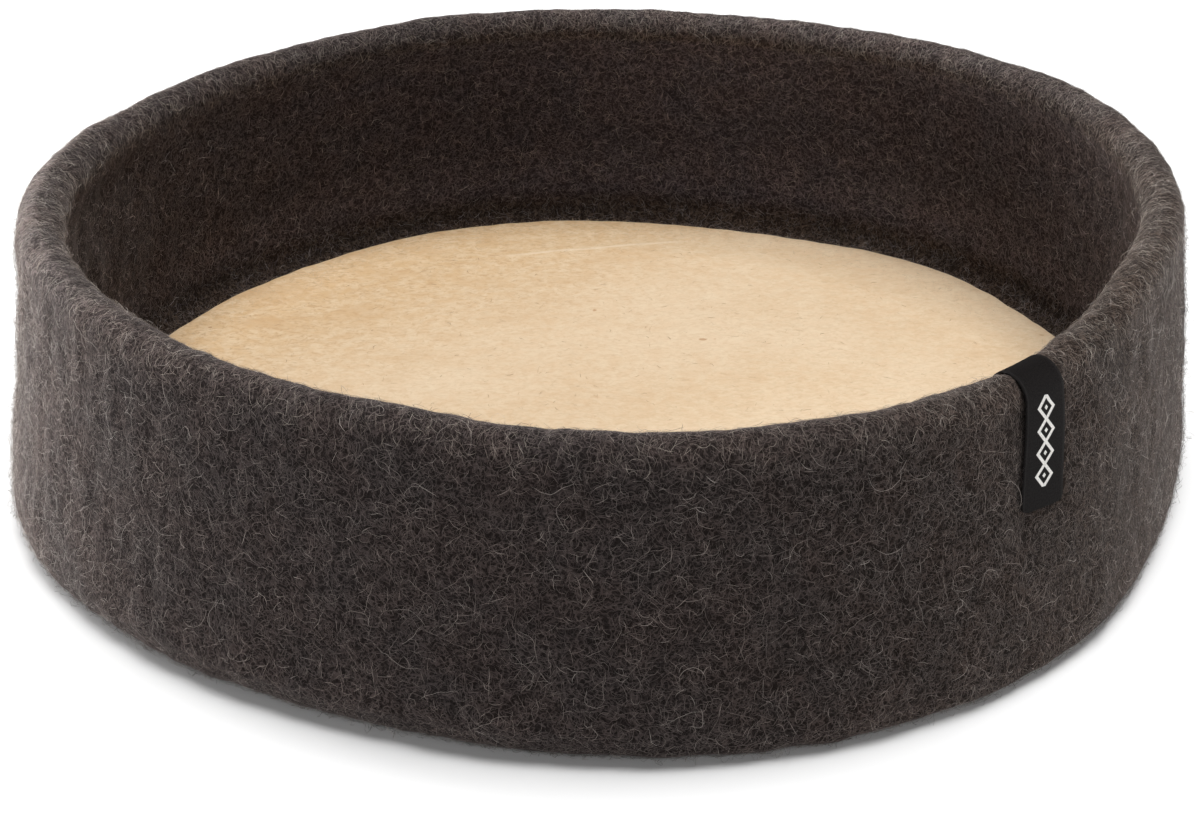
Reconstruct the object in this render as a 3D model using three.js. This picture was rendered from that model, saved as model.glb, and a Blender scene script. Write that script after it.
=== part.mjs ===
import * as THREE from 'three';

// Felt dog basket: a round, shallow bowl of thick wool felt with a rolled rim, a loose
// felt mat on its floor, and a length of woven tape folded over the rim.
// Millimetres, +Z up. The origin is on the underside, at the middle of the base, and the
// front of the basket faces -Y.

// Bowl
const BASE_RADIUS = 301.5; // axis to the outside of the wall, just above its bottom corner
const BASE_CORNER = 12; // rounding where the wall turns under
const RIM_RADIUS = 277.5; // axis to the middle of the rolled rim
const RIM_ROLL = 10.6; // radius of the roll
const RIM_CENTRE = 133.5; // height of the middle of the roll
const WALL_FELT = 18; // thickness of the wall below the roll
const FLOOR_FELT = 8; // thickness of the bottom
const FLOOR_FILLET = 12; // rounding between the wall and the floor, inside
const HEM_BOTTOM = 18; // inside, the roll has thinned to the wall this far below its middle

// Mat
const MAT_RADIUS = 266.5;
const MAT_FELT = 7;
const LAY_GAP = 0.3; // air between the mat and the floor under it

// Label
const LABEL_ANGLE = -48.4; // where its middle crosses the rim, in degrees from +X
const LABEL_WIDTH = 27.4;
const LABEL_LEG = 62.6; // length from the top of the rim down each side
const LABEL_TAPE = 1.2; // thickness of the tape
const LABEL_TILT = 7.8; // degrees, lower end to the left as seen from outside
const LABEL_GAP = 0.7; // air between the tape and the felt where it lies close
const LABEL_ARCH = 2.2; // how much further it stands off the outside of the rim
const LABEL_ARCH_AT = 20; // distance of that place from the top of the rim

// The bowl is shaped by hand, so it is not quite round or level. These stations are a
// sixteenth of a turn apart, from +X towards +Y. Each says how many millimetres the rim,
// the base and the mat stand out from their radius, and the rim from its height.
const STATIONS = [
  { rim: 1, base: -5, height: -3, mat: 1 },
  { rim: 10, base: -2, height: 0, mat: -2 },
  { rim: 4, base: 0, height: 2, mat: 2 },
  { rim: 1, base: 0, height: 0, mat: -8 },
  { rim: 1, base: 0, height: 1, mat: -3 },
  { rim: 3, base: 0, height: 2, mat: 3 },
  { rim: 2, base: -1, height: 1, mat: -1 },
  { rim: 3, base: -1, height: 0, mat: 0 },
  { rim: 2, base: 0, height: 2, mat: 3 },
  { rim: -3, base: 3, height: 4, mat: 2 },
  { rim: -7, base: -1, height: 3, mat: 1 },
  { rim: -7, base: -3, height: 2, mat: 0 },
  { rim: -2, base: 2, height: -1, mat: 0 },
  { rim: 0, base: 5, height: -3, mat: 0 },
  { rim: -9, base: 3, height: -9, mat: 0 },
  { rim: -11, base: -7, height: -4, mat: -2 },
];

// How finely the surfaces are divided
const COLUMNS = 96; // round the basket
const CORNER_STEPS = 4;
const WALL_STEPS = 7;
const ROLL_STEPS = 12;
const HEM_STEPS = 6;
const FILLET_STEPS = 5;
const MAT_EDGE_STEPS = 6;
const LABEL_ROLL_STEPS = 12;
const LABEL_LEG_STEPS = 10;
const LABEL_COLUMNS = 4;

const TURN = 2 * Math.PI;
const shapeRound = smoothLoop((row) => new THREE.Vector3(row.rim, row.base, row.height));
const matRound = smoothLoop((row) => new THREE.Vector3(row.mat, 0, 0));

// A smooth closed curve through one reading of every station
function smoothLoop(reading) {
  return new THREE.CatmullRomCurve3(STATIONS.map(reading), true, 'catmullrom', 0.5);
}

function readLoop(loop, angle) {
  return loop.getPoint(THREE.MathUtils.euclideanModulo(angle / TURN, 1));
}

// Height of the middle of the roll, and the roll's radius from the axis, at an angle
function rimAt(angle) {
  const { x: out, z: up } = readLoop(shapeRound, angle);
  return { radius: RIM_RADIUS + out, height: RIM_CENTRE + up };
}

function outerRadius(angle, z) {
  const rim = rimAt(angle);
  const base = BASE_RADIUS + readLoop(shapeRound, angle).y;
  const share = (z - BASE_CORNER) / (rim.height - BASE_CORNER);
  return THREE.MathUtils.lerp(base, rim.radius + RIM_ROLL, share);
}

function innerRadius(angle, z) {
  const below = rimAt(angle).height - z;
  const thinning = THREE.MathUtils.smoothstep(below, 0, HEM_BOTTOM);
  return outerRadius(angle, z) - THREE.MathUtils.lerp(2 * RIM_ROLL, WALL_FELT, thinning);
}

// Points of an arc in the section, from one angle to another, both ends included
function arc(radius, z, size, from, to, steps) {
  return Array.from({ length: steps + 1 }, (_, i) => {
    const turn = THREE.MathUtils.degToRad(THREE.MathUtils.lerp(from, to, i / steps));
    return new THREE.Vector2(radius + size * Math.cos(turn), z + size * Math.sin(turn));
  });
}

// Points up or down one face of the wall, both ends left out
function face(radiusAt, angle, fromZ, toZ, steps) {
  return Array.from({ length: steps - 1 }, (_, i) => {
    const z = THREE.MathUtils.lerp(fromZ, toZ, (i + 1) / steps);
    return new THREE.Vector2(radiusAt(angle, z), z);
  });
}

// The bowl's section, from the underside out, up, over the rim and back to the floor
function bowlSection(angle) {
  const rim = rimAt(angle);
  const hem = rim.height - HEM_BOTTOM;
  const cornerRadius = outerRadius(angle, BASE_CORNER) - BASE_CORNER;
  const filletTop = FLOOR_FELT + FLOOR_FILLET;
  const filletRadius = innerRadius(angle, filletTop) - FLOOR_FILLET;
  return [
    ...arc(cornerRadius, BASE_CORNER, BASE_CORNER, -90, 0, CORNER_STEPS),
    ...face(outerRadius, angle, BASE_CORNER, rim.height, WALL_STEPS),
    ...arc(rim.radius, rim.height, RIM_ROLL, 0, 180, ROLL_STEPS),
    ...face(innerRadius, angle, rim.height, hem, HEM_STEPS),
    new THREE.Vector2(innerRadius(angle, hem), hem),
    ...face(innerRadius, angle, hem, filletTop, WALL_STEPS),
    ...arc(filletRadius, filletTop, FLOOR_FILLET, 0, -90, FILLET_STEPS),
  ];
}

// The mat's section, from its underside round the edge to its top
function matSection(angle) {
  const round = MAT_FELT / 2;
  const radius = MAT_RADIUS + readLoop(matRound, angle).x;
  return arc(radius - round, FLOOR_FELT + LAY_GAP + round, round, -90, 90, MAT_EDGE_STEPS);
}

// A closed solid swept round the axis from a section that changes with the angle. Each
// section runs from the underside, round the outside, to the top.
function sweptRound(sectionAt) {
  const sections = Array.from({ length: COLUMNS }, (_, i) => sectionAt((i / COLUMNS) * TURN));
  const rows = sections[0].length;
  const positions = [];
  sections.forEach((section, i) => {
    const angle = (i / COLUMNS) * TURN;
    section.forEach(({ x, y }) => positions.push(x * Math.cos(angle), x * Math.sin(angle), y));
  });
  const bottom = positions.length / 3;
  const top = bottom + 1;
  positions.push(0, 0, sections[0][0].y, 0, 0, sections[0][rows - 1].y);
  const faces = [];
  for (let i = 0; i < COLUMNS; i += 1) {
    const here = i * rows;
    const next = ((i + 1) % COLUMNS) * rows;
    faces.push(bottom, next, here);
    for (let row = 0; row < rows - 1; row += 1) {
      faces.push(here + row, next + row, next + row + 1);
      faces.push(here + row, next + row + 1, here + row + 1);
    }
    faces.push(here + rows - 1, next + rows - 1, top);
  }
  return solid(positions, faces);
}

function solid(positions, faces) {
  const geometry = new THREE.BufferGeometry();
  geometry.setAttribute('position', new THREE.Float32BufferAttribute(positions, 3));
  geometry.setIndex(faces);
  geometry.computeVertexNormals();
  return geometry;
}

// A point above the bowl's surface: the distance runs from the top of the rim, positive
// down the outside and negative down the inside
function overRim(angle, distance, clearance) {
  const rim = rimAt(angle);
  const quarter = (RIM_ROLL * Math.PI) / 2;
  const side = Math.sign(distance);
  const drop = Math.abs(distance) - quarter;
  let radius;
  let z;
  if (drop <= 0) {
    const turn = distance / RIM_ROLL;
    radius = rim.radius + (RIM_ROLL + clearance) * Math.sin(turn);
    z = rim.height + (RIM_ROLL + clearance) * Math.cos(turn);
  } else {
    z = rim.height - drop;
    radius = (side > 0 ? outerRadius(angle, z) : innerRadius(angle, z)) + side * clearance;
  }
  return new THREE.Vector3(radius * Math.cos(angle), radius * Math.sin(angle), z);
}

// The tape bows away from the outside of the rim and comes back to the felt at its end
function standOff(length) {
  const { smoothstep } = THREE.MathUtils;
  const rise = smoothstep(length, 0, LABEL_ARCH_AT);
  const fall = smoothstep(LABEL_LEG - length, 0, LABEL_LEG - LABEL_ARCH_AT);
  return LABEL_GAP + LABEL_ARCH * rise * fall;
}

// Distances along the tape, close together over the roll and wider down the legs
function tapeStations() {
  const quarter = (RIM_ROLL * Math.PI) / 2;
  const legs = Array.from({ length: LABEL_LEG_STEPS }, (_, i) =>
    THREE.MathUtils.lerp(LABEL_LEG, quarter, i / LABEL_LEG_STEPS));
  const roll = Array.from({ length: LABEL_ROLL_STEPS + 1 }, (_, i) =>
    THREE.MathUtils.lerp(-quarter, quarter, i / LABEL_ROLL_STEPS));
  return [...legs.map((distance) => -distance), ...roll, ...legs.toReversed()];
}

function labelTape() {
  const tilt = THREE.MathUtils.degToRad(LABEL_TILT);
  const middle = THREE.MathUtils.degToRad(LABEL_ANGLE);
  const along = tapeStations();
  const across = Array.from({ length: LABEL_COLUMNS + 1 }, (_, i) =>
    LABEL_WIDTH * (i / LABEL_COLUMNS - 0.5));
  const positions = [];
  for (const layer of [0, LABEL_TAPE]) {
    for (const length of along) {
      for (const width of across) {
        const down = length * Math.cos(tilt) + width * Math.sin(tilt);
        const right = width * Math.cos(tilt) - length * Math.sin(tilt);
        positions.push(...overRim(middle + right / RIM_RADIUS, down, standOff(length) + layer));
      }
    }
  }
  return solid(positions, slabFaces(along.length, across.length));
}

// Faces of a slab given as an inner grid of points followed by an outer one
function slabFaces(rows, columns) {
  const inner = (row, column) => row * columns + column;
  const outer = (row, column) => rows * columns + inner(row, column);
  const faces = [];
  const quad = (a, b, c, d) => faces.push(a, b, c, a, c, d);
  const lastRow = rows - 1;
  const lastColumn = columns - 1;
  for (let row = 0; row < lastRow; row += 1) {
    const below = row + 1;
    for (let column = 0; column < lastColumn; column += 1) {
      const right = column + 1;
      quad(outer(row, column), outer(below, column), outer(below, right), outer(row, right));
      quad(inner(row, column), inner(row, right), inner(below, right), inner(below, column));
    }
    quad(inner(row, 0), inner(below, 0), outer(below, 0), outer(row, 0));
    quad(outer(row, lastColumn), outer(below, lastColumn), inner(below, lastColumn), inner(row, lastColumn));
  }
  for (let column = 0; column < lastColumn; column += 1) {
    const right = column + 1;
    quad(inner(0, column), outer(0, column), outer(0, right), inner(0, right));
    quad(outer(lastRow, column), inner(lastRow, column), inner(lastRow, right), outer(lastRow, right));
  }
  return faces;
}

function piece(name, geometry, colour, roughness) {
  const mesh = new THREE.Mesh(
    geometry,
    new THREE.MeshStandardMaterial({ color: colour, roughness, metalness: 0 }),
  );
  mesh.name = name;
  return mesh;
}

const basket = new THREE.Group();
basket.add(
  piece('basket_shell', sweptRound(bowlSection), 0x40393a, 1),
  piece('mat', sweptRound(matSection), 0xe2cba5, 1),
  piece('label', labelTape(), 0x1b1a1c, 0.6),
);

export default basket;
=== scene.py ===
"""A felt dog basket on a pale floor: a dark wool bowl, a cream felt mat and a tape label."""

import math
import bpy
import numpy as np
from mathutils import Matrix, Vector


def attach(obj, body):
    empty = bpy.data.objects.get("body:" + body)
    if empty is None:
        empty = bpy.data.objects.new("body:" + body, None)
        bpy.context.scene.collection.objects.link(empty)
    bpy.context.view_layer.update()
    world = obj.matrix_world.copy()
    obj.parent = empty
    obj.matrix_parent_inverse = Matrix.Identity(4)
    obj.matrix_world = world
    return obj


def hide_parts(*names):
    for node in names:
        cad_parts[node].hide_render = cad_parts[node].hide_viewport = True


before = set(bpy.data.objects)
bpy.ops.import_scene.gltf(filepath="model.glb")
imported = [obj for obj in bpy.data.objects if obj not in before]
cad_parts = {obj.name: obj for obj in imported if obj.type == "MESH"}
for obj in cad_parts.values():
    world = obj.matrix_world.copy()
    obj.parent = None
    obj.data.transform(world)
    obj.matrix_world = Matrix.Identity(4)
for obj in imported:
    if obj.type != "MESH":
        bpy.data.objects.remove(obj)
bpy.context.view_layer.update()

MM = 0.001
TURN = 2 * math.pi

# Bowl, in metres, with the same sizes as its solid
BASE_RADIUS = 301.5 * MM
BASE_CORNER = 12 * MM
CORNER_LIFT = 8 * MM
RIM_RADIUS = 277.5 * MM
RIM_ROLL = 10.6 * MM
RIM_CENTRE = 133.5 * MM
WALL_FELT = 18 * MM
FLOOR_FELT = 8 * MM
FLOOR_FILLET = 12 * MM
HEM_BOTTOM = 18 * MM

# Mat
MAT_RADIUS = 266.5 * MM
MAT_FELT = 7 * MM
LAY_GAP = 0.3 * MM

# Label: it stands off the felt a little further than here in its solid
LABEL_ANGLE = math.radians(-48.4)
LABEL_WIDTH = 27.4 * MM
LABEL_LEG = 62.6 * MM
LABEL_TAPE = 0.8 * MM
LABEL_TILT = math.radians(7.8)
LABEL_GAP = 0.3 * MM
LABEL_ARCH = 1.5 * MM
LABEL_ARCH_AT = 20 * MM
LABEL_SLANT = 0.08
LABEL_DRIFT = 1.0 * MM

# How far the rim, the base and the mat stand out, and the rim stands up, in millimetres,
# at sixteen stations from +X towards +Y
STATIONS = [
    {"rim": 1, "base": -5, "height": -3, "mat": 1},
    {"rim": 10, "base": -2, "height": 0, "mat": -2},
    {"rim": 4, "base": 0, "height": 2, "mat": 2},
    {"rim": 1, "base": 0, "height": 0, "mat": -8},
    {"rim": 1, "base": 0, "height": 1, "mat": -3},
    {"rim": 3, "base": 0, "height": 2, "mat": 3},
    {"rim": 2, "base": -1, "height": 1, "mat": -1},
    {"rim": 3, "base": -1, "height": 0, "mat": 0},
    {"rim": 2, "base": 0, "height": 2, "mat": 3},
    {"rim": -3, "base": 3, "height": 4, "mat": 2},
    {"rim": -7, "base": -1, "height": 3, "mat": 1},
    {"rim": -7, "base": -3, "height": 2, "mat": 0},
    {"rim": -2, "base": 2, "height": -1, "mat": 0},
    {"rim": 0, "base": 5, "height": -3, "mat": 0},
    {"rim": -9, "base": 3, "height": -9, "mat": 0},
    {"rim": -11, "base": -7, "height": -4, "mat": -2},
]

# How finely the felt is divided: columns round it, and the pieces of one hair
COLUMNS = 620
MAT_COLUMNS = 300
HAIR_SEGMENTS = 4
LONG_HAIR_SEGMENTS = 10

# Wool
PATCH_SCALE = 34.0
WOOL_SHEEN = (0.80, 0.71, 0.67, 1)
MAT_SHEEN = (1.0, 0.93, 0.82, 1)

# The pale crease in the mat: its direction, its distance from the middle, and the middle of
# its length along that direction
CREASE_WAY = (0.981, 0.193)
CREASE_AWAY = 0.2168
CREASE_MIDDLE = 0.035

# The label's ornament, in millimetres along the tape from the top of the rim, and its weave
ORNAMENT_START = 14.5
ORNAMENT_DIAMOND = 9.75
ORNAMENT_COUNT = 4
ORNAMENT_WIDTH = 10.0
ORNAMENT_THREAD = 2.2
RIB_WIDTH = 0.42
PICK_WIDTH = 0.55
TAPE_BORDER = 1.4
LABEL_CORNER = 3.5 * MM

# The camera looks down at the basket from the front. Angles in radians, lens in millimetres
CAMERA_PLACE = (0.0, -1.1244, 0.5815)
CAMERA_DOWN = 0.4656
CAMERA_ASIDE = -0.00361
CAMERA_ROLL = -0.00982
CAMERA_LENS = 72
CAMERA_SENSOR = 36


def around(column, angle):
    """A smooth closed curve through one column of the stations, in metres."""
    values = np.array([row[column] for row in STATIONS]) * MM
    count = len(values)
    place = np.asarray(angle) / TURN * count
    first = np.floor(place).astype(int)
    t = place - first
    a, b, c, d = (values[(first + k) % count] for k in (-1, 0, 1, 2))
    return b + 0.5 * t * (c - a + t * (2 * a - 5 * b + 4 * c - d + t * (3 * (b - c) + d - a)))


def smooth(x, low, high):
    t = np.clip((x - low) / (high - low), 0, 1)
    return t * t * (3 - 2 * t)


def bump(x, middle, half):
    """A soft hump, 1 at its middle and 0 beyond half its width."""
    return smooth(half - np.abs(x - middle), 0, half)


def towards(angle, middle, half):
    """A soft hump round one direction. Its middle and half its width are in degrees."""
    away = (angle - math.radians(middle) + math.pi) % TURN - math.pi
    return bump(away, 0, math.radians(half))


def rim_radius(angle):
    return RIM_RADIUS + around("rim", angle)


def rim_height(angle):
    return RIM_CENTRE + around("height", angle)


def corner_size(angle):
    """The base's corner is rounder, and so overhangs the floor more, at the front left."""
    return BASE_CORNER + CORNER_LIFT * towards(angle, 247, 52)


def outer_radius(angle, z):
    share = (z - BASE_CORNER) / (rim_height(angle) - BASE_CORNER)
    base = BASE_RADIUS + around("base", angle)
    return base + (rim_radius(angle) + RIM_ROLL - base) * share


def inner_radius(angle, z):
    thinning = smooth(rim_height(angle) - z, 0, HEM_BOTTOM)
    return outer_radius(angle, z) - (2 * RIM_ROLL + (WALL_FELT - 2 * RIM_ROLL) * thinning)


def arc(radius, z, size, start, end, steps):
    turns = np.radians(np.linspace(start, end, steps + 1))
    return [(radius + size * math.cos(a), z + size * math.sin(a)) for a in turns]


def face(radius_at, angle, low, high, steps):
    """Points of one face of the wall from low to high, both ends left out."""
    heights = [low + (high - low) * s for s in np.arange(1, steps) / steps]
    return [(radius_at(angle, z), z) for z in heights]


def lumps(points, size, seed):
    """A smooth random height of about 1, with humps of one size, from waves in all directions."""
    rng = np.random.default_rng(seed)
    ways = rng.normal(size=(30, 3))
    ways /= np.linalg.norm(ways, axis=1, keepdims=True)
    waves = points @ (ways * rng.uniform(0.6, 1.4, (30, 1)) * TURN / (2 * size)).T
    return np.sin(waves + rng.uniform(0, TURN, 30)).sum(-1) / math.sqrt(15)


def swept(section, angle):
    """Points of a section swept round the axis, one row of the section to a row of points."""
    rows = np.array([np.broadcast_arrays(radius, z + 0 * angle) for radius, z in section])
    radius, z = rows[:, 0], rows[:, 1]
    return np.stack([radius * np.cos(angle), radius * np.sin(angle), z], -1)


def normals_of(points):
    across = np.roll(points, -1, 1) - np.roll(points, 1, 1)
    normals = np.cross(across, np.gradient(points, axis=0))
    return normals / np.linalg.norm(normals, axis=-1, keepdims=True)


def swept_faces(rows, columns):
    """Faces of swept rows, closed at both ends by a point in the middle."""
    bottom, top = rows * columns, rows * columns + 1
    here = np.arange(columns)
    after = (here + 1) % columns
    quads = [
        np.stack([r * columns + here, r * columns + after,
                  (r + 1) * columns + after, (r + 1) * columns + here], 1)
        for r in range(rows - 1)
    ]
    last = (rows - 1) * columns
    ends = [
        np.stack([0 * here + bottom, after, here], 1),
        np.stack([last + here, last + after, 0 * here + top], 1),
    ]
    return np.concatenate(quads).tolist() + np.concatenate(ends).tolist()


def new_piece(name, points, faces, material):
    mesh = bpy.data.meshes.new(name)
    mesh.from_pydata(np.asarray(points).tolist(), [], faces)
    mesh.shade_smooth()
    mesh.materials.append(material)
    piece = bpy.data.objects.new(name, mesh)
    bpy.context.collection.objects.link(piece)
    return piece


def swept_piece(name, points, material):
    rows, columns = points.shape[:2]
    ends = [points[0].mean(0), points[-1].mean(0)]
    everything = np.concatenate([points.reshape(-1, 3), ends])
    return new_piece(name, everything, swept_faces(rows, columns), material)


def point_values(piece, name, values):
    """Gives each of a piece's points a number of its own, or three, for its material."""
    kind, field = ("FLOAT", "value") if np.ndim(values) == 1 else ("FLOAT_VECTOR", "vector")
    attribute = piece.data.attributes.new(name, kind, "POINT")
    attribute.data.foreach_set(field, np.asarray(values, np.float32).ravel())


# Materials

def add(tree, kind, inputs=(), **settings):
    """A new node with its settings. An input that is another node's output is joined to it."""
    made = tree.nodes.new("ShaderNode" + kind)
    for key, value in settings.items():
        setattr(made, key, value)
    for key, value in dict(inputs).items():
        if isinstance(value, bpy.types.NodeSocket):
            tree.links.new(value, made.inputs[key])
        else:
            made.inputs[key].default_value = value
    return made


def maths(tree, operation, *values):
    return add(tree, "Math", enumerate(values), operation=operation).outputs[0]


def plus(tree, first, second):
    return maths(tree, "ADD", first, second)


def minus(tree, first, second):
    return maths(tree, "SUBTRACT", first, second)


def times(tree, first, second):
    return maths(tree, "MULTIPLY", first, second)


def size_of(tree, value):
    return maths(tree, "ABSOLUTE", value)


def ramp(tree, value, low, high, start=0.0, end=1.0):
    """Runs smoothly from start to end while the value runs from low to high."""
    inputs = {"Value": value, "From Min": low, "From Max": high, "To Min": start, "To Max": end}
    return add(tree, "MapRange", inputs, interpolation_type="SMOOTHSTEP").outputs["Result"]


def mix(tree, share, first, second, blend="MIX"):
    inputs = {0: share, 6: first, 7: second}
    return add(tree, "Mix", inputs, data_type="RGBA", blend_type=blend).outputs[2]


def noise(tree, place, scale, detail=2.0, roughness=0.5, distortion=0.0):
    inputs = {"Vector": place, "Scale": scale, "Detail": detail, "Roughness": roughness,
              "Distortion": distortion}
    return add(tree, "TexNoise", inputs).outputs["Fac"]


def moved(tree, place, shift, stretch=(1, 1, 1)):
    return add(tree, "Mapping", {"Vector": place, "Location": shift, "Scale": stretch}).outputs[0]


def warped(tree, place, scale, amount):
    """The place pushed about by soft noise, by about an amount in metres."""
    wander = add(tree, "TexNoise", {"Vector": place, "Scale": scale, "Detail": 1.0})
    inputs = {0: wander.outputs["Color"], 1: (0.5, 0.5, 0.5)}
    centred = add(tree, "VectorMath", inputs, operation="SUBTRACT").outputs[0]
    inputs = {0: centred, "Scale": amount}
    push = add(tree, "VectorMath", inputs, operation="SCALE").outputs[0]
    return add(tree, "VectorMath", {0: place, 1: push}, operation="ADD").outputs[0]


def fibres(tree, place, layers, width):
    """Layers of long curling lines that cross, 1 on the topmost fibres and 0 between them.

    A line runs where a soft noise crosses its middle, and comes and goes with the next noise.
    """
    fields = [noise(tree, moved(tree, place, shift), scale, 1.0, 0.35, 0.7)
              for scale, shift, _ in layers]
    top = 0.0
    for (scale, _, strength), field, other in zip(layers, fields, fields[1:] + fields[:1]):
        away = size_of(tree, minus(tree, field, 0.5))
        half = 1.5 * scale * width / 2
        line = times(tree, ramp(tree, away, 1.6 * half, 0.3 * half),
                     ramp(tree, other, 0.36, 0.56, 0.15 * strength, strength))
        top = maths(tree, "MAXIMUM", line, top)
    return top


def wool_patches(tree, place):
    """Where the wool is warmer, and where cooler."""
    return ramp(tree, noise(tree, place, PATCH_SCALE, 3.0, 0.6), 0.38, 0.62)


def new_material(name):
    material = bpy.data.materials.new(name)
    material.use_nodes = True
    tree = material.node_tree
    return material, tree, tree.nodes["Principled BSDF"]


def bowl_felt():
    """Nearly black wool, warm and cool in patches, with a mat of curled fibres over dark pits."""
    material, tree, shader = new_material("bowl_felt")
    place = add(tree, "TexCoord").outputs["Object"]
    patches = wool_patches(tree, place)
    ground = mix(tree, patches, (0.0114, 0.0088, 0.0083, 1), (0.0105, 0.0087, 0.0085, 1))
    wool = mix(tree, patches, (0.0757, 0.0596, 0.0555, 1), (0.0709, 0.0589, 0.0566, 1))
    curls = fibres(tree, place, [
        (230.0, (0.6, 1.9, 0.2), 0.75),
        (310.0, (2.2, 0.8, 1.5), 0.65),
        (390.0, (0.3, 2.6, 1.1), 0.5),
    ], 0.13 * MM)
    fuzz = noise(tree, place, 900.0, 2.0, 0.6, 0.5)
    share = plus(tree, curls, ramp(tree, fuzz, 0.40, 0.75, 0.0, 0.25))
    # The tint of each point holds warmer and cooler tones round the bowl and painted light: paler
    # sides, inner back and low parts, a paler rim partly from worn hairs, and a warmer low band
    # inside
    tint = add(tree, "Attribute", attribute_name="tint").outputs["Vector"]
    inputs = {0: mix(tree, share, ground, wool), 1: tint}
    colour = add(tree, "VectorMath", inputs, operation="MULTIPLY").outputs[0]
    relief = add(tree, "Bump", {"Height": share, "Distance": 0.0005, "Strength": 0.7})
    tree.links.new(colour, shader.inputs["Base Color"])
    tree.links.new(relief.outputs[0], shader.inputs["Normal"])
    shader.inputs["Roughness"].default_value = 0.95
    shader.inputs["Specular IOR Level"].default_value = 0.02
    shader.inputs["Sheen Weight"].default_value = 0.25
    shader.inputs["Sheen Roughness"].default_value = 0.35
    shader.inputs["Sheen Tint"].default_value = WOOL_SHEEN
    return material


def hair(name, tint, stops, sheen):
    """Single wool hairs: each takes its own tone from dark to pale, and is tinted in patches."""
    material, tree, shader = new_material(name)
    tone = add(tree, "Attribute", attribute_name="tone").outputs["Fac"]
    tones = add(tree, "ValToRGB", {"Fac": tone})
    elements = tones.color_ramp.elements
    while len(elements) < len(stops):
        elements.new(0.5)
    for element, (position, colour) in zip(elements, stops):
        element.position = position
        element.color = colour
    patches = wool_patches(tree, add(tree, "TexCoord").outputs["Object"])
    colour = mix(tree, patches, tones.outputs[0], tint, "MULTIPLY")
    tree.links.new(colour, shader.inputs["Base Color"])
    shader.inputs["Roughness"].default_value = 0.8
    shader.inputs["Specular IOR Level"].default_value = 0.05
    shader.inputs["Sheen Weight"].default_value = sheen
    shader.inputs["Sheen Roughness"].default_value = 0.35
    shader.inputs["Sheen Tint"].default_value = WOOL_SHEEN
    return material


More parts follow.
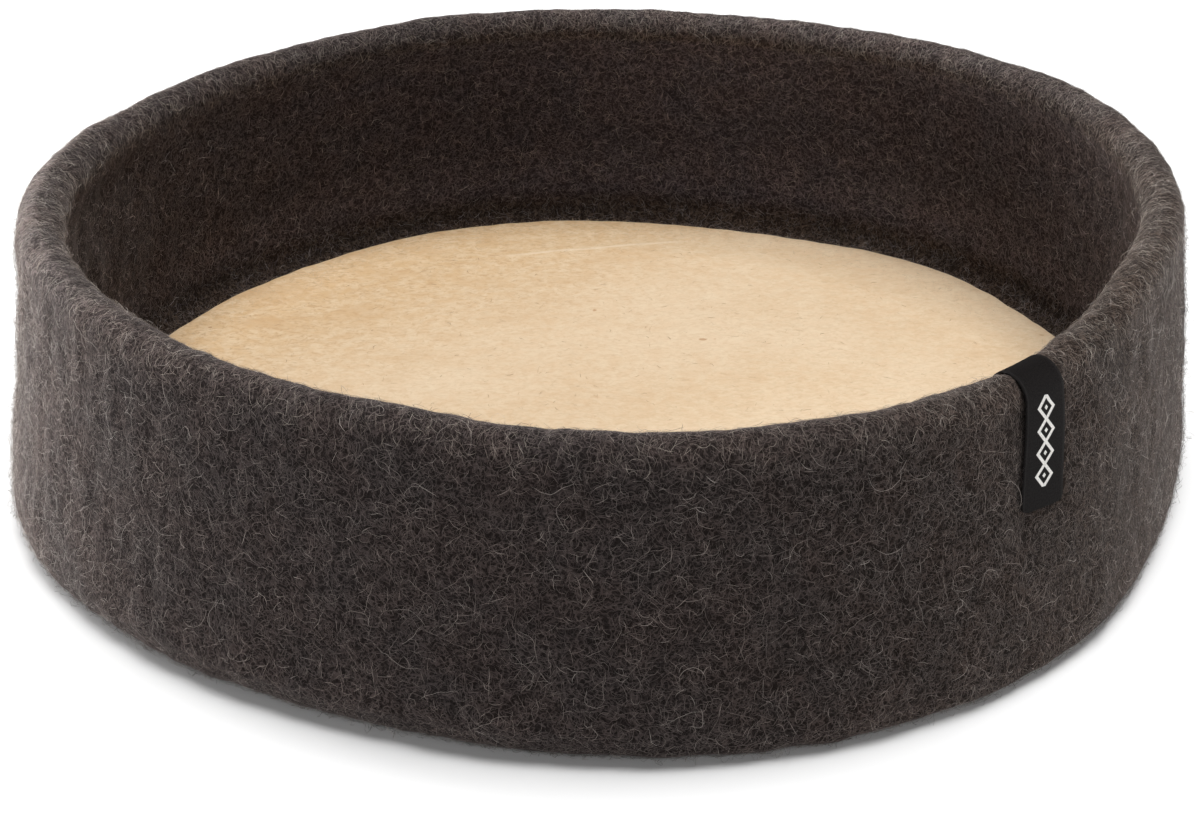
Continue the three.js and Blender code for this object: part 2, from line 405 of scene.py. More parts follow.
def mat_felt():
    """Cream wool with a short nap that runs from side to side, softly mottled."""
    material, tree, shader = new_material("mat_felt")
    place = add(tree, "TexCoord").outputs["Object"]
    parts = add(tree, "SeparateXYZ", {0: place})
    x, y = parts.outputs[0], parts.outputs[1]
    broad = noise(tree, place, 9.0, 3.0)
    mottle = noise(tree, warped(tree, place, 60.0, 0.01), 130.0, 3.0, 0.6)
    grain = noise(tree, moved(tree, place, (1, 2, 0), (1, 1.5, 1)), 430.0, 2.0, 0.6)
    wandering = warped(tree, place, 110.0, 0.005)
    streaks = noise(tree, moved(tree, wandering, (0, 0, 0), (240, 460, 460)), 1.0, 3.0, 0.7, 0.8)
    stains = noise(tree, moved(tree, warped(tree, place, 30.0, 0.02), (3, 1, 0), (16, 34, 30)),
                   1.0, 3.0, 0.6)
    curls = fibres(tree, moved(tree, place, (0.3, 0.2, 0), (0.6, 1, 1)), [
        (190.0, (2.0, 1.0, 0.0), 1.0),
        (280.0, (0.5, 2.0, 1.0), 0.7),
    ], 0.3 * MM)
    specks = noise(tree, moved(tree, place, (4.1, 0.7, 0.0)), 95.0, 1.0)

    # The back left is darker and more saturated, partly painted shade from the wall beside it, and
    # more marked with streaks and stains, and a pale crease runs across the back
    aside = minus(tree, times(tree, y, 0.77), times(tree, x, 0.63))
    shade_and_marks = ramp(tree, plus(tree, aside, times(tree, broad, 0.06)), 0.10, 0.27)
    ahead, across = CREASE_WAY
    crease_off = minus(tree, times(tree, y, ahead), times(tree, x, across))
    crease_off = plus(tree, crease_off, times(tree, broad, 0.004))
    crease_off = size_of(tree, minus(tree, crease_off, CREASE_AWAY))
    crease_along = plus(tree, times(tree, x, ahead), times(tree, y, across))
    crease_along = size_of(tree, minus(tree, crease_along, CREASE_MIDDLE))
    crease = times(tree, ramp(tree, crease_off, 0.0024, 0.0),
                   ramp(tree, crease_along, 0.068, 0.035))

    colour = mix(tree, ramp(tree, broad, 0.35, 0.65), (0.65, 0.475, 0.305, 1),
                 (0.70, 0.54, 0.372, 1))
    # Painted shade: the back left made darker and more saturated
    colour = mix(tree, times(tree, shade_and_marks, 0.85), colour, (0.56, 0.370, 0.190, 1))
    colour = mix(tree, ramp(tree, mottle, 0.3, 0.7, 0.0, 0.5), colour, (0.73, 0.60, 0.43, 1))
    colour = mix(tree, ramp(tree, grain, 0.3, 0.7, 0.0, 0.10), colour, (0.50, 0.35, 0.21, 1))
    dark = times(tree, ramp(tree, streaks, 0.45, 0.70),
                 plus(tree, times(tree, shade_and_marks, 0.60), 0.25))
    colour = mix(tree, dark, colour, (0.46, 0.29, 0.15, 1))
    stained = times(tree, ramp(tree, stains, 0.48, 0.72),
                    plus(tree, times(tree, shade_and_marks, 0.50), 0.18))
    colour = mix(tree, stained, colour, (0.54, 0.35, 0.185, 1))
    colour = mix(tree, times(tree, curls, 0.2), colour, (0.50, 0.36, 0.22, 1))
    colour = mix(tree, ramp(tree, specks, 0.80, 0.83, 0.0, 0.6), colour, (0.36, 0.17, 0.07, 1))
    colour = mix(tree, times(tree, crease, 0.4), colour, (0.80, 0.68, 0.52, 1))
    # Painted light: the far edge of the mat at the back is made paler, against the shade that the
    # back wall casts on it
    outward = add(tree, "VectorMath", {0: place}, operation="LENGTH").outputs["Value"]
    paler = times(tree, ramp(tree, outward, 0.215, 0.268), ramp(tree, y, 0.06, 0.20, 0.0, 0.40))
    inputs = {0: colour, "Scale": plus(tree, paler, 1.0)}
    colour = add(tree, "VectorMath", inputs, operation="SCALE").outputs[0]

    height = plus(tree, times(tree, streaks, 0.5), times(tree, mottle, 0.6))
    height = plus(tree, height, times(tree, crease, 0.5))
    relief = add(tree, "Bump", {"Height": height, "Distance": 0.0006, "Strength": 0.5})
    tree.links.new(colour, shader.inputs["Base Color"])
    tree.links.new(relief.outputs[0], shader.inputs["Normal"])
    shader.inputs["Roughness"].default_value = 0.95
    shader.inputs["Specular IOR Level"].default_value = 0.1
    shader.inputs["Sheen Weight"].default_value = 0.15
    shader.inputs["Sheen Tint"].default_value = MAT_SHEEN
    return material


def label_tape():
    """Black satin tape with a chain of small open diamonds woven in off-white thread."""
    material, tree, shader = new_material("label_tape")
    place = add(tree, "Attribute", attribute_name="tape").outputs["Vector"]
    parts = add(tree, "SeparateXYZ", {0: place})
    across, along = parts.outputs[0], parts.outputs[1]

    # The diamonds' outlines, and the solid ones in their middles
    aside = size_of(tree, across)
    step = maths(tree, "DIVIDE", minus(tree, along, ORNAMENT_START), ORNAMENT_DIAMOND)
    within = size_of(tree, minus(tree, maths(tree, "FRACT", step), 0.5))
    outline = times(tree, minus(tree, 1.0, times(tree, within, 2.0)), ORNAMENT_WIDTH / 2)
    away = size_of(tree, minus(tree, aside, outline))
    thread = ramp(tree, away, 0.58 * ORNAMENT_THREAD, 0.44 * ORNAMENT_THREAD)
    core = plus(tree, times(tree, within, ORNAMENT_DIAMOND),
                times(tree, aside, ORNAMENT_DIAMOND / ORNAMENT_WIDTH))
    thread = maths(tree, "MAXIMUM", thread, ramp(tree, core, 1.25, 1.05))
    inside = times(tree, maths(tree, "GREATER_THAN", step, 0.0),
                   maths(tree, "LESS_THAN", step, float(ORNAMENT_COUNT)))
    thread = times(tree, thread, inside)

    rib = maths(tree, "SINE", times(tree, across, TURN / RIB_WIDTH))
    slanted = plus(tree, along, times(tree, across, 0.4))
    pick = maths(tree, "SINE", times(tree, slanted, TURN / PICK_WIDTH))
    weave = plus(tree, times(tree, rib, 0.5), times(tree, pick, 0.5))
    worn = minus(tree, noise(tree, place, 1.3, 4.0, 0.75), 0.5)
    worn = plus(tree, times(tree, worn, 6.0), times(tree, weave, 0.4))
    shade = ramp(tree, worn, -1.0, 1.0)
    cloth = mix(tree, shade, (0.0012, 0.0011, 0.0012, 1), (0.0145, 0.0122, 0.0116, 1))
    border = minus(tree, aside, LABEL_WIDTH / MM / 2 - TAPE_BORDER)
    border = ramp(tree, size_of(tree, border), 0.5, 0.2, 0.0, 0.5)
    cloth = mix(tree, border, cloth, (0.022, 0.020, 0.020, 1))
    white = mix(tree, shade, (0.62, 0.60, 0.57, 1), (0.86, 0.84, 0.81, 1))
    colour = mix(tree, thread, cloth, white)
    height = plus(tree, weave, times(tree, thread, 1.2))
    relief = add(tree, "Bump", {"Height": height, "Distance": 0.00012, "Strength": 0.6})
    tree.links.new(colour, shader.inputs["Base Color"])
    tree.links.new(relief.outputs[0], shader.inputs["Normal"])
    shader.inputs["Roughness"].default_value = 0.6
    shader.inputs["Specular IOR Level"].default_value = 0.04
    return material


# Bowl

def bowl_section(angle):
    """The bowl's section from under the middle, out, up, over the rim and back to the floor."""
    high = rim_height(angle)
    turn = corner_size(angle)
    corner = outer_radius(angle, turn) - turn
    top = FLOOR_FELT + FLOOR_FILLET
    fillet = inner_radius(angle, top) - FLOOR_FILLET
    parts = {
        "under": [(corner * s, 0) for s in np.linspace(0.15, 0.97, 7)],
        "corner": arc(corner, turn, turn, -90, 0, 9),
        "outside": face(outer_radius, angle, turn, high, 44),
        "roll": arc(rim_radius(angle), high, RIM_ROLL, 0, 180, 20),
        "inside": face(inner_radius, angle, high, top, 40),
        "fillet": arc(fillet, top, FLOOR_FILLET, 0, -90, 8),
        "floor": [(fillet * s, FLOOR_FELT) for s in np.linspace(0.975, 0.15, 12)],
    }
    return parts


def down_of(points, angle):
    """How far each point lies from the top of the rim, down the outside or, less than 0, inside."""
    radius = np.hypot(points[..., 0], points[..., 1])
    z = np.minimum(points[..., 2], rim_height(angle))
    wall = (outer_radius(angle, z) + inner_radius(angle, z)) / 2
    quarter = RIM_ROLL * math.pi / 2
    out = np.where(z < FLOOR_FELT - 0.5 * MM, 1 * MM, radius - wall)
    drop = rim_height(angle) - points[..., 2]
    over = RIM_ROLL * np.arctan2(out, -drop)
    return np.where(drop > 0, np.sign(out) * (quarter + drop), over)


def tape_place(angle, down):
    """Where a place on the rim lies on the tape: across it, and along it from the rim's top."""
    right = (angle - LABEL_ANGLE + math.pi) % TURN - math.pi
    right = right * RIM_RADIUS
    across = down * math.sin(LABEL_TILT) + right * math.cos(LABEL_TILT)
    along = down * math.cos(LABEL_TILT) - right * math.sin(LABEL_TILT)
    return across, along


def under_tape(angle, down, margin):
    across, along = tape_place(angle, down)
    wide = smooth(LABEL_WIDTH / 2 + margin - np.abs(across), 0, 1 * MM)
    return wide * smooth(LABEL_LEG + margin - np.abs(along), 0, 1 * MM)


def painted_light_and_wear(angle, down):
    """How much paler the wool is painted: painted light at the sides, the back inside and low down,
    and at the rim partly painted light from above and partly pale worn hairs.
    """
    rim = 0.45 * bump(down, 0, 26 * MM)
    # Painted light: the left and right sides, where light grazes the wool
    left = 1.85 * towards(angle, 187, 47) * (down > 0)
    right = 0.20 * towards(angle, -10, 35) * (down > 0)
    back = 0.3 * towards(angle, 115, 75) + 0.8 * towards(angle, 68, 46)
    back = (back + 0.45 * towards(angle, 25, 42)) * (down < 0)
    # Painted light: paler low down outside, where the floor throws light up, and low down inside,
    # where the mat throws light back
    base = 0.15 * smooth(down, 105 * MM, 140 * MM)
    low = 0.6 * smooth(-down, 88 * MM, 118 * MM)
    low += 0.5 * smooth(-down, 60 * MM, 120 * MM) * towards(angle, 47, 34)
    high = 0.45 * bump(down, -32 * MM, 36 * MM) * towards(angle, 75, 70)
    return rim + left + right + back + base + low + high


bowl_angles = np.arange(COLUMNS) / COLUMNS * TURN
bowl_parts = bowl_section(bowl_angles)
plain = swept([row for part in bowl_parts.values() for row in part], bowl_angles)
first_row = dict(zip(bowl_parts, np.cumsum([0] + [len(part) for part in bowl_parts.values()])))
down = down_of(plain, bowl_angles)
height = plain[..., 2]
outer_side = (down > 0) * 1.0

felted = 0.32 * lumps(plain, 45 * MM, 1) + 0.22 * lumps(plain, 15 * MM, 2)
felted += 0.14 * lumps(plain, 6 * MM, 3)
drawn = lumps(plain * (1, 1, 0.35), 8 * MM, 4)
drawn_out = 0.14 + 0.24 * towards(bowl_angles, 195, 55)
felted += drawn_out * (1 - 0.6 * bump(down, 0, 30 * MM)) * drawn
felted += 0.3 * towards(bowl_angles, 187, 60) * lumps(plain, 28 * MM, 8)

# The wall tucks in above the base at the right, bellies out at the left, has a small lip at
# its foot and a groove inside below the roll, and gives a little under the tape
tuck = -3.5 * towards(bowl_angles, -38, 40) * smooth(95 * MM - height, 0, 90 * MM)
belly = 2.0 * bump(height, 138 * MM, 26 * MM) + 2.3 * bump(height, 30 * MM, 36 * MM)
belly = belly * towards(bowl_angles, 187, 48)
lip = 0.7 * bump(height, 4 * MM, 4 * MM) - 0.9 * bump(height, 11 * MM, 5 * MM)
groove = -1.1 * towards(bowl_angles, 118, 42) * bump(down, -36 * MM, 7 * MM)
pressed = -0.5 * under_tape(bowl_angles, down, 0.5 * MM)
pushed_out = felted + (lip + tuck + belly) * outer_side + groove + pressed
free = np.ones(len(plain))
free[: first_row["corner"] + 1] = 0
free[first_row["floor"]:] = 0
bowl_points = plain + normals_of(plain) * (pushed_out * free[:, None])[..., None] * MM
bowl_points[..., 2] = np.maximum(bowl_points[..., 2], 0)
bowl_normals = normals_of(bowl_points)
shell = swept_piece("shell", bowl_points, bowl_felt())
# Painted light: the wool is made paler where light falls on the sides, the inner back and the low
# parts, and on the rim, where pale worn hairs add to it
pale = 1 + painted_light_and_wear(bowl_angles, down).reshape(-1, 1)
# Painted light: the lowest band inside, by the mat, is made warmer and less blue, standing in for
# the warm light thrown back from the mat
below = smooth(-down, 120 * MM, 134 * MM)
cool = towards(bowl_angles, 82, 100) * (1 - below)
inside_tint = np.stack([1.03 + 0 * cool, 0.95 + 0.11 * cool - 0.05 * below,
                        0.93 + 0.33 * cool - 0.20 * below], -1)
warm = towards(bowl_angles, -28, 72) + 0 * down
outside_tint = np.stack([1.02 + 0.02 * warm, 0.99 - 0.03 * warm, 0.99 - 0.17 * warm], -1)
inner_side = down[..., None] < -20 * MM
tint = pale * np.where(inner_side, inside_tint, outside_tint).reshape(-1, 3)
point_values(shell, "tint", np.concatenate([tint, [(1, 1, 1), (1, 1, 1)]]))


# Hairs

def sample(grid, row, column):
    """The grid's value between its points. Its columns go round, its rows do not."""
    row = np.clip(row, 0, len(grid) - 1.001)
    r, c = np.floor(row).astype(int), np.floor(column).astype(int)
    u, v = (row - r)[:, None], (column - c)[:, None]
    c, after = c % grid.shape[1], (c + 1) % grid.shape[1]
    low = grid[r, c] * (1 - v) + grid[r, after] * v
    high = grid[r + 1, c] * (1 - v) + grid[r + 1, after] * v
    return low * (1 - u) + high * u


def hair_roots(points, rows, count, rng, density):
    """Random places on some rows of a grid, as thick as each of its columns says."""
    block = points[rows[0]: rows[1] + 1]
    wide = np.linalg.norm(np.roll(block, -1, 1) - block, axis=-1)[:-1]
    tall = np.linalg.norm(block[1:] - block[:-1], axis=-1)
    area = (wide * tall * density).ravel()
    pick = rng.choice(len(area), count, p=area / area.sum())
    columns = points.shape[1]
    return rows[0] + pick // columns + rng.random(count), pick % columns + rng.random(count)


def hair_paths(points, normals, rows, count, rng, look):
    """Curled lines over a grid: points of each from root to tip, and the felt's normals there."""
    row, column = hair_roots(points, rows, count, rng, look["density"])
    heading = np.radians(rng.normal(look["heading"], look["spread"], count))
    heading += math.pi * rng.integers(0, 2, count)
    segments = look["segments"]
    step = rng.uniform(*look["length"], count) * MM / segments
    bend = rng.normal(0, look["curl"], count)
    arch = rng.exponential(look["lift"], count) * MM
    free_end = rng.random(count) < look["stray"]
    rise = rng.uniform(*look["rise"], count) * MM
    wide = np.linalg.norm(np.roll(points, -1, 1) - points, axis=-1)[..., None]
    tall = np.linalg.norm(np.gradient(points, axis=0), axis=-1)[..., None]
    path, stands = [], []
    wave = rng.uniform(0, TURN, count)
    for k in range(segments + 1):
        t = k / segments
        waved = look["wave"] * MM * (1 + np.sin(wave + 0.7 * TURN * t))
        lift = 0.1 * MM + waved + np.where(free_end, rise * t**1.5, arch * math.sin(math.pi * t))
        out = sample(normals, row, column)
        path.append(sample(points, row, column) + out * lift[:, None])
        stands.append(out)
        heading = heading + bend * step / MM + rng.normal(0, 0.28, count)
        row = row + step * np.sin(heading) / sample(tall, row, column)[:, 0]
        column = column + step * np.cos(heading) / sample(wide, row, column)[:, 0]
    return np.stack(path, 1), np.stack(stands, 1)


def strands(path, stands, half_width, tilt):
    """Points of flat strands that taper to a point at both ends, tilted against the felt."""
    along = np.gradient(path, axis=1)
    side = np.cross(stands, along)
    side /= np.linalg.norm(side, axis=-1, keepdims=True) + 1e-12
    taper = np.sin(np.linspace(0, math.pi, path.shape[1]))[1:-1, None] ** 0.4
    thick = half_width[:, None, None] * taper
    tilt = tilt[:, None, None]
    offset = (side * np.cos(tilt) + stands * np.sin(tilt))[:, 1:-1] * thick
    body = np.stack([path[:, 1:-1] + offset, path[:, 1:-1] - offset], 2)
    body = body.reshape(len(path), -1, 3)
    return np.concatenate([path[:, :1], body, path[:, -1:]], 1)


def strand_faces(count, segments):
    """Faces of that many strands: a triangle at each end, and four-sided ones between them."""
    last = 2 * segments - 1
    ends = [(0, 2, 1), (last - 2, last - 1, last)]
    middle = [(k, k + 1, k + 3, k + 2) for k in range(1, last - 2, 2)]
    starts = (np.arange(count) * (last + 1))[:, None, None]
    return sum(((starts + np.array(part)).reshape(-1, len(part[0])).tolist()
                for part in (ends, middle)), [])


def hairs(name, grid, rows, count, seed, look, material):
    """A piece of many hairs over some rows of a grid, each with a tone for its material."""
    rng = np.random.default_rng(seed)
    points, normals = grid
    path, stands = hair_paths(points, normals, rows, count, rng, look)
    keep = np.ones(count, bool)
    tone = rng.beta(*look["tones"], count)
    if look["on_bowl"]:
        angle = np.arctan2(path[..., 1], path[..., 0])
        distance = down_of(path, angle)
        keep = under_tape(angle, distance, 0.8 * MM).max(1) == 0
        # Painted light: hairs on the left and right sides are pushed further towards pale and dark,
        # as grazing light shows them, and hairs are made paler where the wool is painted paler
        side_light_contrast = towards(angle[:, 0], 185, 65) + towards(angle[:, 0], -8, 50)
        tone = 0.33 + (tone - 0.33) * (1 + 0.9 * side_light_contrast)
        tone = np.clip(tone + 0.3 * painted_light_and_wear(angle, distance)[:, 0], 0, 1)
    path, stands, tone = path[keep], stands[keep], tone[keep]
    half_width = rng.uniform(*look["half_width"], len(path)) * MM
    tilt = rng.uniform(-1, 1, len(path))
    made = strands(path, stands, half_width, tilt)
    made[..., 2] = np.maximum(made[..., 2], 0.2 * MM)
    faces = strand_faces(len(path), look["segments"])
    piece = new_piece(name, made.reshape(-1, 3), faces, material)
    point_values(piece, "tone", np.repeat(tone, made.shape[1]))
    return piece


inner_hair = hair("inner_hair", (0.93, 0.96, 0.985, 1), [
    (0.0, (0.044, 0.0330, 0.0335, 1)),
    (0.4, (0.130, 0.100, 0.103, 1)),
    (0.7, (0.254, 0.206, 0.204, 1)),
    (1.0, (0.49, 0.42, 0.40, 1)),
], 0.8)
wool_hair = hair("wool_hair", (0.925, 0.965, 0.98, 1), [
    (0.0, (0.042, 0.0330, 0.0310, 1)),
    (0.4, (0.124, 0.098, 0.0895, 1)),
    (0.7, (0.245, 0.203, 0.183, 1)),
    (1.0, (0.48, 0.425, 0.385, 1)),
], 0.8)
rim_hair = hair("rim_hair", (0.93, 0.965, 0.97, 1), [
    (0.0, (0.042, 0.0330, 0.0300, 1)),
    (0.4, (0.125, 0.098, 0.0865, 1)),
    (0.7, (0.249, 0.203, 0.178, 1)),
    (1.0, (0.49, 0.425, 0.37, 1)),
], 0.8)
left_denser = 1 + 0.9 * towards(bowl_angles, 187, 55)

# How hairs lie. Headings and spreads are in degrees, sizes in millimetres
LYING = {"heading": 90, "spread": 90, "length": (4, 9.5), "curl": 0.27, "lift": 0.35,
         "wave": 0.25, "stray": 0.0, "rise": (1.2, 3.4), "half_width": (0.04, 0.085),
         "tones": (1.4, 2.9), "density": 1.0, "segments": HAIR_SEGMENTS, "on_bowl": True}
LOOSER = {**LYING, "lift": 0.8, "wave": 0.55, "density": left_denser}
LONG = {**LYING, "density": left_denser, "spread": 50, "length": (12, 26), "curl": 0.11,
        "lift": 0.7, "wave": 0.5, "half_width": (0.04, 0.07), "tones": (2.4, 2.2),
        "segments": LONG_HAIR_SEGMENTS}
STRAY = {**LYING, "length": (5, 11), "lift": 0.7, "stray": 0.5, "half_width": (0.045, 0.08),
         "tones": (2.0, 2.5)}
ACROSS_RIM = {**LYING, "spread": 30, "length": (4, 9), "curl": 0.10, "lift": 0.22,
              "wave": 0.15, "stray": 0.10, "rise": (0.5, 1.8), "half_width": (0.035, 0.065),
              "tones": (1.8, 2.2)}
MAT_EDGE = {**LYING, "heading": 20, "spread": 60, "length": (2.5, 6), "curl": 0.25, "lift": 0.4,
            "wave": 0.2, "stray": 0.7, "rise": (0.5, 2.0), "half_width": (0.035, 0.07),
            "tones": (2, 2), "on_bowl": False}
MAT_TOP = {**LYING, "heading": 10, "spread": 45, "length": (1.5, 6), "curl": 0.25, "lift": 0.15,
           "wave": 0.05, "stray": 0.05, "half_width": (0.05, 0.10), "tones": (2, 2),
           "on_bowl": False}

bowl_grid = (bowl_points, bowl_normals)
outside_rows = (first_row["corner"] + 3, first_row["roll"])
rim_rows = (first_row["roll"], first_row["inside"])
inside_rows = (first_row["inside"], first_row["floor"])
stray_rows = (outside_rows[0], inside_rows[1])
bowl_hairs = [
    hairs("fibres_outside", bowl_grid, outside_rows, 29000, 11, LYING, wool_hair),
    hairs("fibres_outside_over", bowl_grid, outside_rows, 29000, 15, LOOSER, wool_hair),
    hairs("fibres_rim", bowl_grid, rim_rows, 17000, 12, ACROSS_RIM, rim_hair),
    hairs("fibres_inside", bowl_grid, inside_rows, 26000, 13, {**LYING, "lift": 0.6}, inner_hair),
    hairs("long_hairs", bowl_grid, outside_rows, 2600, 17, LONG, wool_hair),
    hairs("stray_hairs", bowl_grid, stray_rows, 11500, 16, STRAY, wool_hair),
]


# Mat

mat_angles = np.arange(MAT_COLUMNS) / MAT_COLUMNS * TURN
mat_round = MAT_FELT / 2
mat_radius = MAT_RADIUS + around("mat", mat_angles) + 0.2 * MM * np.sin(23 * mat_angles)
mat_bottom = FLOOR_FELT + LAY_GAP
mat_rows = [((mat_radius - mat_round) * s, mat_bottom) for s in np.linspace(0.1, 0.97, 6)]
mat_rows += arc(mat_radius - mat_round, mat_bottom + mat_round, mat_round, -90, 90, 12)
top_shares = np.linspace(0.985, 0.02, 54)
mat_rows += [((mat_radius - mat_round) * s, mat_bottom + MAT_FELT) for s in top_shares]
mat_plain = swept(mat_rows, mat_angles)
mat_top = smooth(mat_plain[..., 2], mat_bottom + mat_round, mat_bottom + MAT_FELT)
mat_lumps = 0.30 * lumps(mat_plain, 60 * MM, 5) + 0.12 * lumps(mat_plain, 14 * MM, 6)
mat_points = mat_plain.copy()
mat_points[..., 2] += mat_top * (mat_lumps - 0.2) * MM
mat_edge = smooth(np.hypot(*np.moveaxis(mat_plain[..., :2], -1, 0)), 0.24, 0.262)
mat_out = (0.12 * lumps(mat_plain, 9 * MM, 7) * mat_edge * MM)[..., None]
mat_points += mat_out * normals_of(mat_plain) * (mat_plain[..., 2:] > mat_bottom)
mat = swept_piece("mat_felt", mat_points, mat_felt())

mat_hair_material = hair("mat_hair", (0.97, 0.96, 0.94, 1),
                         [(0.0, (0.50, 0.36, 0.22, 1)), (1.0, (0.80, 0.70, 0.54, 1))], 0.1)
brown_hair_material = hair("mat_hair_brown", (0.97, 0.96, 0.94, 1),
                           [(0.0, (0.16, 0.09, 0.05, 1)), (1.0, (0.55, 0.40, 0.25, 1))], 0.1)
mat_grid = (mat_points, normals_of(mat_points))
mat_edge_rows = (8, 24)
mat_top_rows = (24, len(mat_points) - 2)
mat_hairs = hairs("mat_hair", mat_grid, mat_edge_rows, 5000, 14, MAT_EDGE, mat_hair_material)
brown_hairs = hairs("mat_hair_brown", mat_grid, mat_top_rows, 900, 18, MAT_TOP,
                    brown_hair_material)


# Label

def over_rim(angle, distance, clearance):
    """A point above the bowl. The distance runs from the top of the rim, positive outside."""
    quarter = RIM_ROLL * math.pi / 2
    side = np.sign(distance)
    drop = np.maximum(np.abs(distance) - quarter, 0)
    high = rim_height(angle)
    turn = distance / RIM_ROLL
    roll_radius = rim_radius(angle) + (RIM_ROLL + clearance) * np.sin(turn)
    roll_z = high + (RIM_ROLL + clearance) * np.cos(turn)
    leg_z = high - drop
    leg_radius = np.where(side > 0, outer_radius(angle, leg_z), inner_radius(angle, leg_z))
    on_roll = drop <= 0
    radius = np.where(on_roll, roll_radius, leg_radius + side * clearance)
    return np.stack([radius * np.cos(angle), radius * np.sin(angle),
                     np.where(on_roll, roll_z, leg_z)], -1)


def slab_faces(rows, columns):
    """Faces of a slab given as an inner grid of points followed by an outer one."""
    inner = np.arange(rows * columns).reshape(rows, columns)
    outer = inner + rows * columns
    a, b, c, d = outer[:-1, :-1], outer[1:, :-1], outer[1:, 1:], outer[:-1, 1:]
    faces = [np.stack([a, b, c, d], -1).reshape(-1, 4)]
    a, b, c, d = inner[:-1, :-1], inner[:-1, 1:], inner[1:, 1:], inner[1:, :-1]
    faces.append(np.stack([a, b, c, d], -1).reshape(-1, 4))
    faces.append(np.stack([inner[:-1, 0], inner[1:, 0], outer[1:, 0], outer[:-1, 0]], -1))
    faces.append(np.stack([outer[:-1, -1], outer[1:, -1], inner[1:, -1], inner[:-1, -1]], -1))
    faces.append(np.stack([inner[0, :-1], outer[0, :-1], outer[0, 1:], inner[0, 1:]], -1))
    faces.append(np.stack([outer[-1, :-1], inner[-1, :-1], inner[-1, 1:], outer[-1, 1:]], -1))
    return np.concatenate(faces).tolist()


tape_shares = np.linspace(-1, 1, 151)
tape_widths = np.linspace(-1, 1, 29)
tape_along, tape_across = np.meshgrid(tape_shares * LABEL_LEG, tape_widths * LABEL_WIDTH / 2,
                                      indexing="ij")
from_end = np.clip(LABEL_LEG - np.abs(tape_along), 0, LABEL_CORNER)
corner_cut = LABEL_CORNER - np.sqrt(LABEL_CORNER**2 - (LABEL_CORNER - from_end) ** 2)
tape_across = tape_across * (1 - corner_cut / (LABEL_WIDTH / 2))
tape_end = smooth(tape_along, 0.35 * LABEL_LEG, LABEL_LEG)
tape_along = tape_along - LABEL_SLANT * tape_across * tape_end
tape_down = tape_along * math.cos(LABEL_TILT) + tape_across * math.sin(LABEL_TILT)
tape_right = tape_across * math.cos(LABEL_TILT) - tape_along * math.sin(LABEL_TILT)
tape_right = tape_right - LABEL_DRIFT * tape_end
tape_rise = smooth(tape_along, 0, LABEL_ARCH_AT)
tape_fall = smooth(LABEL_LEG - tape_along, 0, LABEL_LEG - LABEL_ARCH_AT)
tape_off = LABEL_GAP + LABEL_ARCH * tape_rise * tape_fall
tape_edge = smooth(np.abs(tape_across), LABEL_WIDTH / 2 - 1.2 * MM, LABEL_WIDTH / 2)
tape_layers = [
    over_rim(LABEL_ANGLE + tape_right / RIM_RADIUS, tape_down, tape_off + clearance)
    for clearance in (0.25 * LABEL_TAPE * tape_edge, LABEL_TAPE * (1 - 0.25 * tape_edge))
]
tape_points = np.concatenate([layer.reshape(-1, 3) for layer in tape_layers])
label = new_piece("label_strip", tape_points, slab_faces(*tape_along.shape), label_tape())
tape_xy = np.stack([tape_across / MM, tape_along / MM, 0 * tape_along], -1).reshape(-1, 3)
point_values(label, "tape", np.concatenate([tape_xy, tape_xy]))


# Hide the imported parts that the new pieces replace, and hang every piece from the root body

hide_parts("basket_shell")
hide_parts("mat")
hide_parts("label")
for piece, slot in [(shell, "bowl_felt"), (mat, "mat_felt"), (mat_hairs, "mat_felt"),
                    (brown_hairs, "mat_felt"),
                    (label, "label_tape")] + [(piece, "bowl_felt") for piece in bowl_hairs]:
    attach(piece, "root")


# Floor, light and camera

def floor_material():
    material, tree, shader = new_material("floor")
    place = add(tree, "TexCoord").outputs["Object"]
    soft = noise(tree, place, 3.0, 2.0)
    colour = mix(tree, soft, (0.89, 0.89, 0.89, 1), (0.91, 0.91, 0.91, 1))
    tree.links.new(colour, shader.inputs["Base Color"])
    shader.inputs["Roughness"].default_value = 0.9
    shader.inputs["Specular IOR Level"].default_value = 0.1
    return material


FLOOR_REACH = 20.0
floor_corners = [(FLOOR_REACH * x, FLOOR_REACH * y, 0)
                 for x, y in [(-1, -1), (1, -1), (1, 1), (-1, 1)]]
floor = new_piece("floor", floor_corners, [(0, 1, 2, 3)], floor_material())

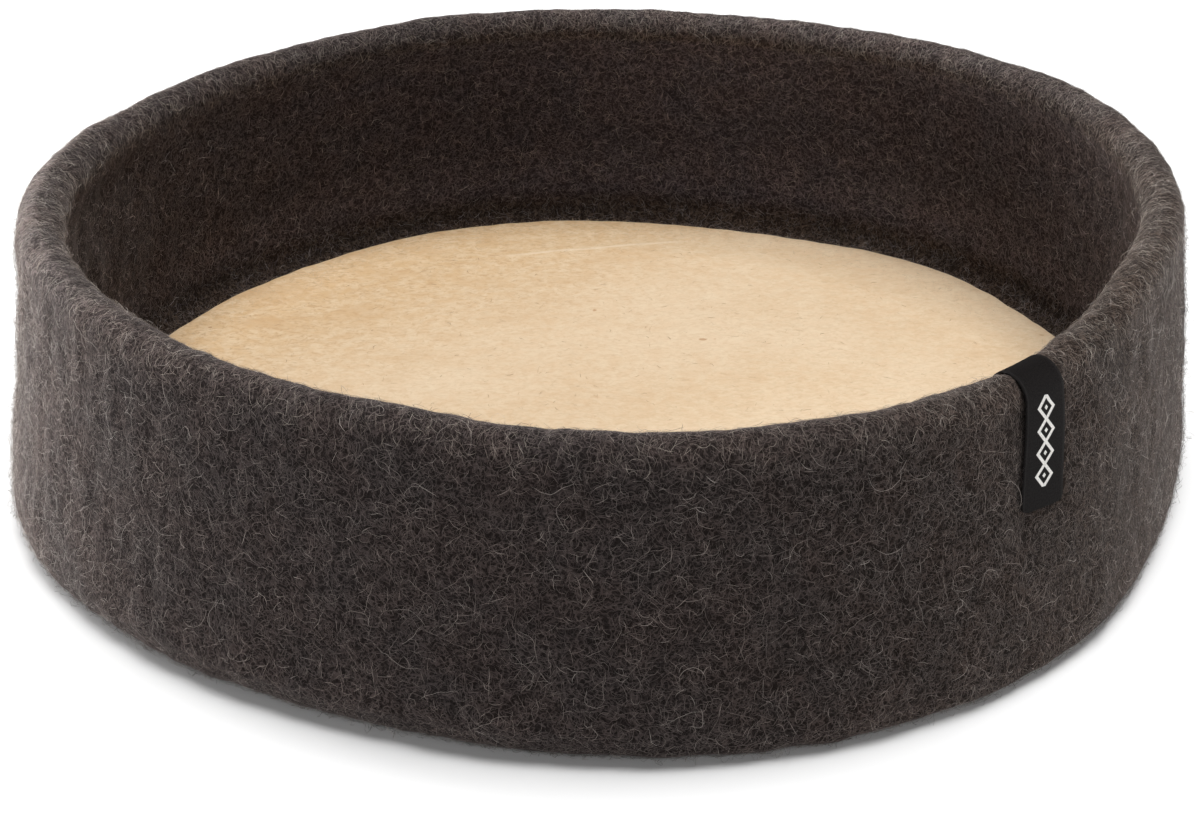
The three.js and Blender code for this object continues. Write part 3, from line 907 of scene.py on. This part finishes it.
world = bpy.data.worlds.new("studio")
world.use_nodes = True
surround = world.node_tree.nodes["Background"]
surround.inputs["Strength"].default_value = 0.03
backdrop = add(world.node_tree, "Background", {"Strength": 1.0})
for background in (surround, backdrop):
    background.inputs["Color"].default_value = (1, 1, 1, 1)
seen = add(world.node_tree, "LightPath").outputs["Is Camera Ray"]
both = add(world.node_tree, "MixShader", {0: seen, 1: surround.outputs[0], 2: backdrop.outputs[0]})
world.node_tree.links.new(both.outputs[0], world.node_tree.nodes["World Output"].inputs[0])
bpy.context.scene.world = world


def soft_box(name, place, size, power):
    data = bpy.data.lights.new(name, "AREA")
    data.shape = "RECTANGLE"
    data.size, data.size_y = size
    data.energy = power
    box = bpy.data.objects.new(name, data)
    box.location = place
    box.visible_camera = False
    aim = Vector((0, 0, 0.05)) - box.location
    box.rotation_euler = aim.to_track_quat("-Z", "Y").to_euler()
    bpy.context.collection.objects.link(box)


ceiling = bpy.data.lights.new("ceiling", "SUN")
ceiling.angle = math.radians(40)
ceiling.energy = 3.6
ceiling_object = bpy.data.objects.new("ceiling", ceiling)
ceiling_object.rotation_euler = (math.radians(-6), math.radians(5), 0)
bpy.context.collection.objects.link(ceiling_object)
soft_box("box_back", (-2.0, 1.9, 0.8), (1.8, 1.0), 78)
soft_box("box_left", (-2.6, 0.6, 0.18), (1.9, 0.3), 60)
soft_box("box_right", (2.6, 0.3, 0.32), (2.2, 0.5), 18)
soft_box("box_front", (0.2, -2.6, 1.65), (2.4, 1.2), 19.5)


def camera_matrix():
    ahead = Vector((math.sin(CAMERA_ASIDE) * math.cos(CAMERA_DOWN),
                    math.cos(CAMERA_ASIDE) * math.cos(CAMERA_DOWN), -math.sin(CAMERA_DOWN)))
    level = Vector((math.cos(CAMERA_ASIDE), -math.sin(CAMERA_ASIDE), 0))
    above = level.cross(ahead)
    right = math.cos(CAMERA_ROLL) * level + math.sin(CAMERA_ROLL) * above
    up = -math.sin(CAMERA_ROLL) * level + math.cos(CAMERA_ROLL) * above
    turn = Matrix((right, up, -ahead)).transposed().to_4x4()
    return Matrix.Translation(CAMERA_PLACE) @ turn


data = bpy.data.cameras.new("camera")
data.sensor_fit = "HORIZONTAL"
data.sensor_width = CAMERA_SENSOR
data.lens = CAMERA_LENS
camera = bpy.data.objects.new("camera", data)
camera.matrix_world = camera_matrix()
bpy.context.collection.objects.link(camera)
bpy.context.scene.camera = camera
bpy.context.scene.view_settings.view_transform = "Standard"
